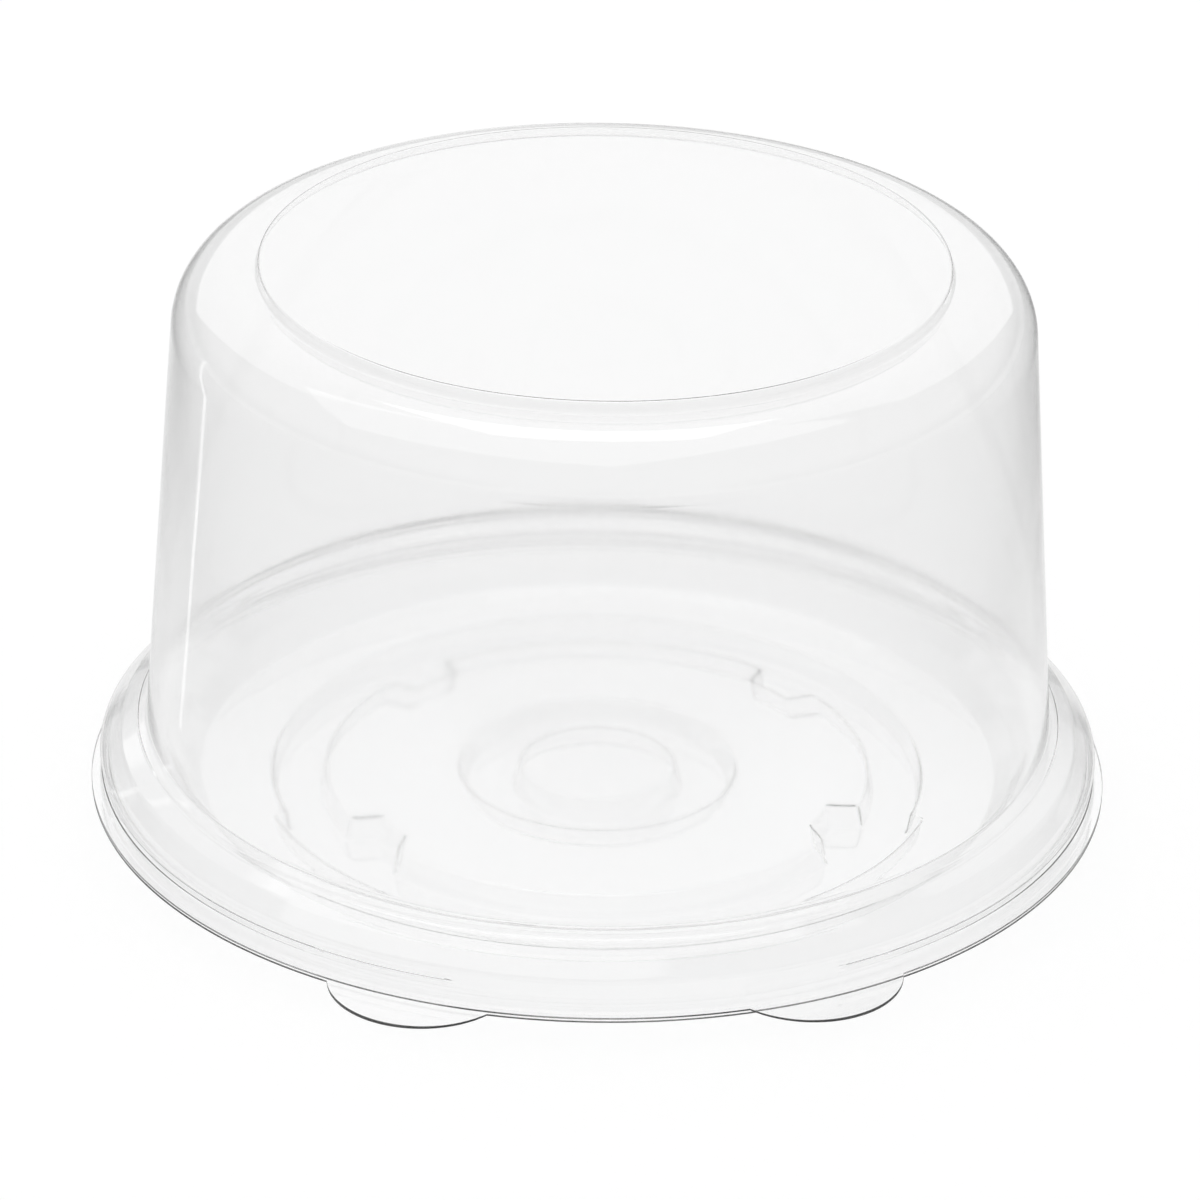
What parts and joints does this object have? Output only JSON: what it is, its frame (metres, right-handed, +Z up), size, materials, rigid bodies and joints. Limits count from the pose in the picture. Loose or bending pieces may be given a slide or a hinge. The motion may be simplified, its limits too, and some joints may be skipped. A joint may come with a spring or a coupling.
{
  "type": "cake container",
  "caption": "Clear plastic cake container: a tall round dome lid that snaps over a shallow formed tray, with pull tabs at the front for opening it.",
  "frame": {"origin": "on the table, on the container's axis, under the centre of the tray", "axes": "+Z up along the container's axis, -Y to the front, midway between the pull tabs"},
  "size_m": [0.262, 0.2641, 0.1497],
  "materials": {
    "clear_sheet": "clear formed PET sheet"
  },
  "bodies": {
    "base": {"base_tray": "clear_sheet"},
    "lid": {"dome_lid": "clear_sheet"},
    "base_tab": {"base_pull_tab": "clear_sheet"},
    "lid_tab": {"lid_pull_tab": "clear_sheet"}
  },
  "joints": [
    {"name": "lid_lift", "type": "slide", "parent": "base", "child": "lid", "axis": [0, 0, 1], "range_m": [0, 0.16]},
    {"name": "base_tab_bend", "type": "hinge", "parent": "base", "child": "base_tab", "pos_m": [-0.05104, -0.1188, 0.006], "axis": [-0.9188, 0.3947, 0], "range_deg": [-20, 0], "stiffness_Nm_per_rad": 0.002},
    {"name": "lid_tab_bend", "type": "hinge", "parent": "lid", "child": "lid_tab", "pos_m": [0.05104, -0.1188, 0.0069], "axis": [-0.9188, -0.3947, 0], "range_deg": [0, 45], "stiffness_Nm_per_rad": 0.002}
  ]
}
